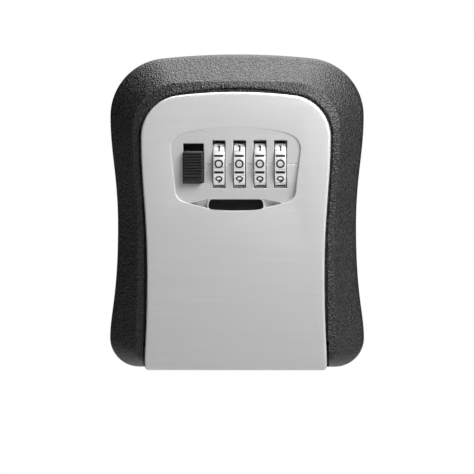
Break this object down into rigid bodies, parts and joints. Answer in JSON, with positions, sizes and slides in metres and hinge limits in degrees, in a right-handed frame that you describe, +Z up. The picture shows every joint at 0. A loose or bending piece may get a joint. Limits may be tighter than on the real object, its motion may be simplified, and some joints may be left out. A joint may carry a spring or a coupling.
{
  "type": "key lock box",
  "caption": "Wall-mounted key lock box: waisted black case, silver fold-down door with number wheels, a push-down lock button and a spring latch.",
  "frame": {"origin": "centre of the flat back face that rests against the wall", "axes": "+Y into the wall, so the door faces -Y; +X to the right seen from the front; +Z up"},
  "size_m": [0.0966, 0.04, 0.1194],
  "materials": {
    "textured_black": "fine textured black powder coat over die casting",
    "satin_silver": "satin silver paint over die casting",
    "raw_casting": "tumbled die casting",
    "steel": "bright zinc plated",
    "wheel_chrome": "chromed plastic with black figures",
    "black_plastic": "moulded black plastic",
    "black_rubber": "matte rubber",
    "brass": "plain brass"
  },
  "bodies": {
    "case": {"case_shell": "textured_black", "rear_plate": "raw_casting", "hinge_block": "raw_casting", "hinge_pin": "steel", "floor_buffer": "black_rubber", "keeper_strip": "steel", "keeper_screw_1": "steel", "keeper_screw_2": "steel", "rear_screw_1": "steel", "rear_screw_2": "steel", "rear_screw_3": "steel", "rear_screw_4": "steel"},
    "door": {"door_panel": "satin_silver", "finger_cup": "black_plastic", "lock_housing": "raw_casting", "dial_shaft": "steel", "click_spring": "brass", "latch_spring": "steel", "housing_screw_1": "steel", "housing_screw_2": "steel", "housing_screw_3": "steel", "housing_screw_4": "steel"},
    "code_lever": {"code_lever": "brass"},
    "latch": {"latch_slide": "steel", "lock_button": "black_plastic"},
    "wheel_1": {"number_wheel_1": "wheel_chrome", "code_hub_1": "brass"},
    "wheel_2": {"number_wheel_2": "wheel_chrome", "code_hub_2": "brass"},
    "wheel_3": {"number_wheel_3": "wheel_chrome", "code_hub_3": "brass"},
    "wheel_4": {"number_wheel_4": "wheel_chrome", "code_hub_4": "brass"}
  },
  "joints": [
    {"name": "door_hinge", "type": "hinge", "parent": "case", "child": "door", "pos_m": [0, -0.03, -0.054], "axis": [1, 0, 0], "range_deg": [0, 90]},
    {"name": "latch_slide", "type": "slide", "parent": "door", "child": "latch", "axis": [0, 0, 1], "range_m": [0, 0.0027], "stiffness_N_per_m": 300, "springref_m": 0.0027, "deforming": ["latch_spring"]},
    {"name": "code_lever_slide", "type": "slide", "parent": "door", "child": "code_lever", "axis": [1, 0, 0], "range_m": [0, 0.004]},
    {"name": "wheel_1_turn", "type": "hinge", "parent": "door", "child": "wheel_1", "pos_m": [-0.0063, -0.0294, 0.0173], "axis": [1, 0, 0], "continuous": true},
    {"name": "wheel_2_turn", "type": "hinge", "parent": "door", "child": "wheel_2", "pos_m": [0.0014, -0.0294, 0.0173], "axis": [1, 0, 0], "continuous": true},
    {"name": "wheel_3_turn", "type": "hinge", "parent": "door", "child": "wheel_3", "pos_m": [0.0091, -0.0294, 0.0173], "axis": [1, 0, 0], "continuous": true},
    {"name": "wheel_4_turn", "type": "hinge", "parent": "door", "child": "wheel_4", "pos_m": [0.0168, -0.0294, 0.0173], "axis": [1, 0, 0], "continuous": true}
  ]
}
